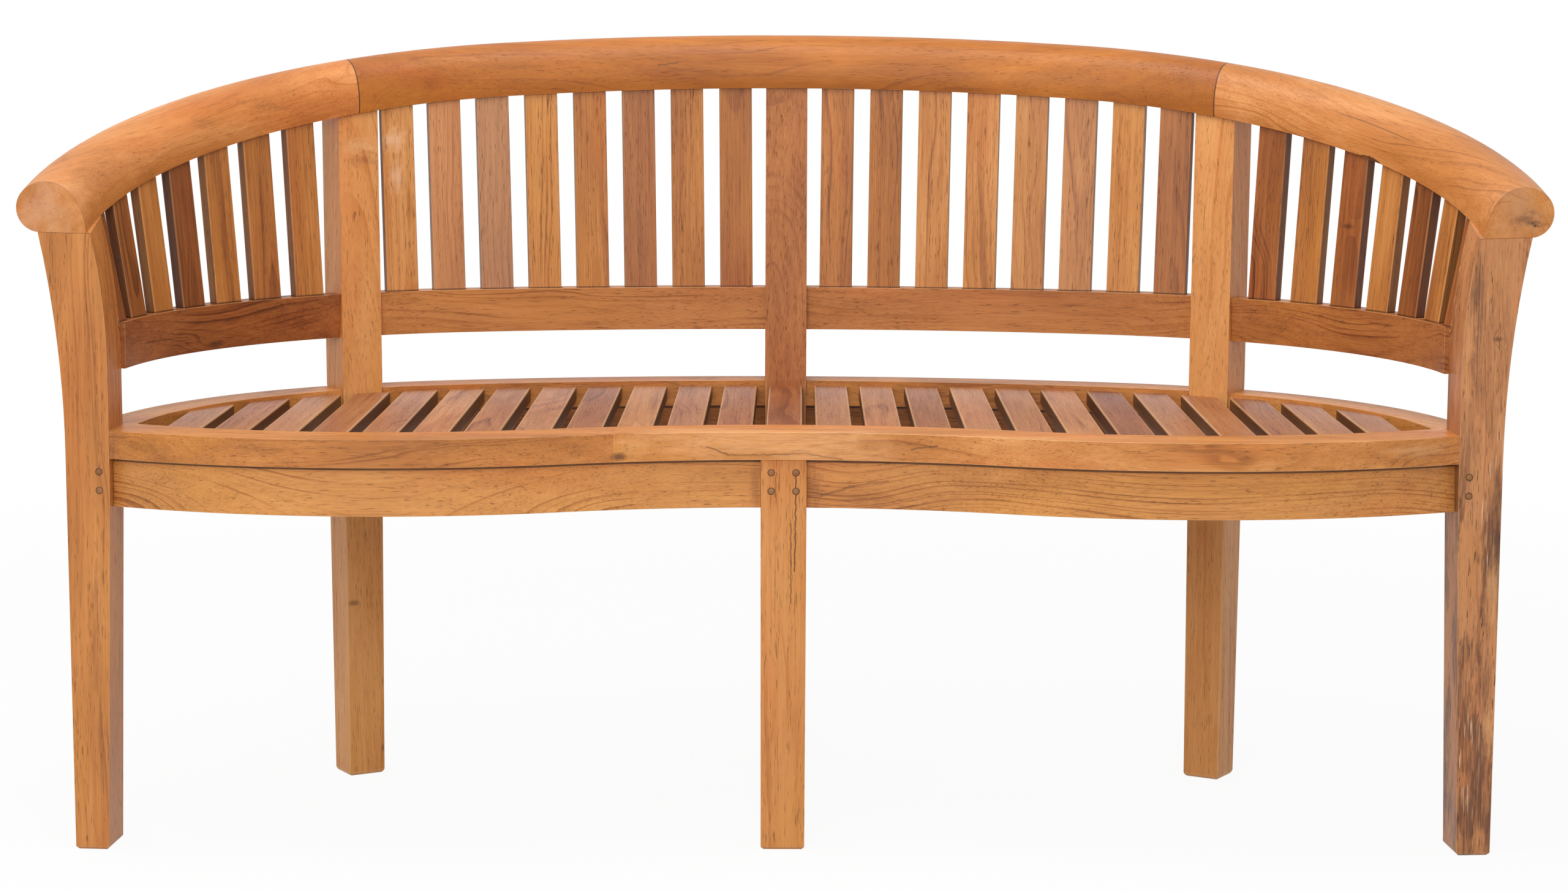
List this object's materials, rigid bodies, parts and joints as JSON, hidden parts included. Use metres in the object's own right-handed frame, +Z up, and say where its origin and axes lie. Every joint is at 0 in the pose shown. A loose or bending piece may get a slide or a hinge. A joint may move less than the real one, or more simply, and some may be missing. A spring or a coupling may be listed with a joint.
{
  "type": "garden bench",
  "caption": "Curved teak garden bench: a slatted seat with a wavy front on straight legs, and a bowed slatted back that sweeps round into both arms under one rounded top rail.",
  "frame": {"origin": "on the floor, midway across the width and midway from the front of the seat's lobes to the back of the top rail", "axes": "+X to the right as seen from the front, +Y to the back, +Z up; the front faces -Y"},
  "size_m": [1.616, 0.6356, 0.862],
  "materials": {
    "teak_legs": "sanded, unoiled teak",
    "teak_top_rail": "sanded, unoiled teak",
    "teak_lower_rails": "sanded, unoiled teak",
    "teak_rims": "sanded, unoiled teak",
    "teak_aprons": "sanded, unoiled teak",
    "teak_seat_slats": "sanded, unoiled teak",
    "teak_back_slats": "sanded, unoiled teak",
    "peg_wood": "end grain of hardwood pegs"
  },
  "bodies": {
    "root": {"apron_back_left": "teak_aprons", "apron_back_right": "teak_aprons", "apron_front_left": "teak_aprons", "apron_front_right": "teak_aprons", "apron_pegs": "peg_wood", "apron_side_left": "teak_aprons", "apron_side_right": "teak_aprons", "arm_rail_left": "teak_top_rail", "arm_rail_right": "teak_top_rail", "arm_slats_left": "teak_back_slats", "arm_slats_right": "teak_back_slats", "back_leg_left": "teak_legs", "back_leg_middle": "teak_legs", "back_leg_right": "teak_legs", "back_slats_left": "teak_back_slats", "back_slats_right": "teak_back_slats", "front_leg_left": "teak_legs", "front_leg_middle": "teak_legs", "front_leg_right": "teak_legs", "lower_arm_rail_left": "teak_lower_rails", "lower_arm_rail_right": "teak_lower_rails", "lower_back_rail_left": "teak_lower_rails", "lower_back_rail_right": "teak_lower_rails", "seat_rim_back_left": "teak_rims", "seat_rim_back_right": "teak_rims", "seat_rim_front_left": "teak_rims", "seat_rim_front_right": "teak_rims", "seat_rim_key": "peg_wood", "seat_rim_side_left": "teak_rims", "seat_rim_side_right": "teak_rims", "seat_slat_left_1": "teak_seat_slats", "seat_slat_left_10": "teak_seat_slats", "seat_slat_left_11": "teak_seat_slats", "seat_slat_left_12": "teak_seat_slats", "seat_slat_left_2": "teak_seat_slats", "seat_slat_left_3": "teak_seat_slats", "seat_slat_left_4": "teak_seat_slats", "seat_slat_left_5": "teak_seat_slats", "seat_slat_left_6": "teak_seat_slats", "seat_slat_left_7": "teak_seat_slats", "seat_slat_left_8": "teak_seat_slats", "seat_slat_left_9": "teak_seat_slats", "seat_slat_middle": "teak_seat_slats", "seat_slat_right_1": "teak_seat_slats", "seat_slat_right_10": "teak_seat_slats", "seat_slat_right_11": "teak_seat_slats", "seat_slat_right_12": "teak_seat_slats", "seat_slat_right_2": "teak_seat_slats", "seat_slat_right_3": "teak_seat_slats", "seat_slat_right_4": "teak_seat_slats", "seat_slat_right_5": "teak_seat_slats", "seat_slat_right_6": "teak_seat_slats", "seat_slat_right_7": "teak_seat_slats", "seat_slat_right_8": "teak_seat_slats", "seat_slat_right_9": "teak_seat_slats", "seat_stretcher": "teak_aprons", "top_rail_centre": "teak_top_rail", "top_rail_dowels": "peg_wood"}
  },
  "joints": []
}
